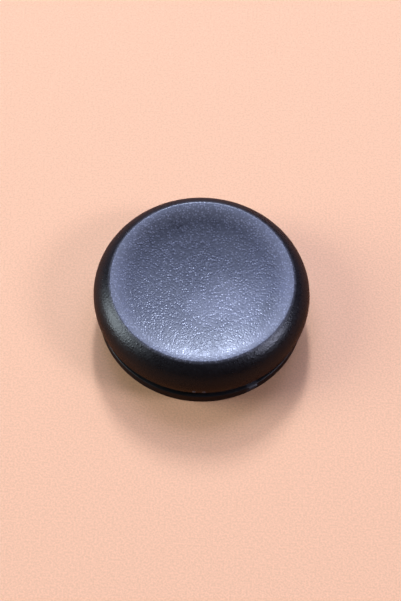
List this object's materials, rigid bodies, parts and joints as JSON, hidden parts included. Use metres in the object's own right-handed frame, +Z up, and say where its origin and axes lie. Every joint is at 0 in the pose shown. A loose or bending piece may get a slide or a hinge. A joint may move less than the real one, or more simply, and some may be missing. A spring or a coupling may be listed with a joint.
{
  "type": "thumbstick cap",
  "caption": "Low round thumb cap with a concave grained dish, rounded rim, base groove and flange, and a keyed stem socket underneath.",
  "frame": {"origin": "centre of the base rim, on the surface that the cap rests on", "axes": "+Z up along the cap's axis, from the base rim to the dish; +X along the long side of the stem socket"},
  "size_m": [0.018, 0.018, 0.0052],
  "materials": {
    "black_plastic": "fine moulded grain on the dish and rim, smoother on the flange"
  },
  "bodies": {
    "root": {"thumbstick_cap": "black_plastic"}
  },
  "joints": []
}
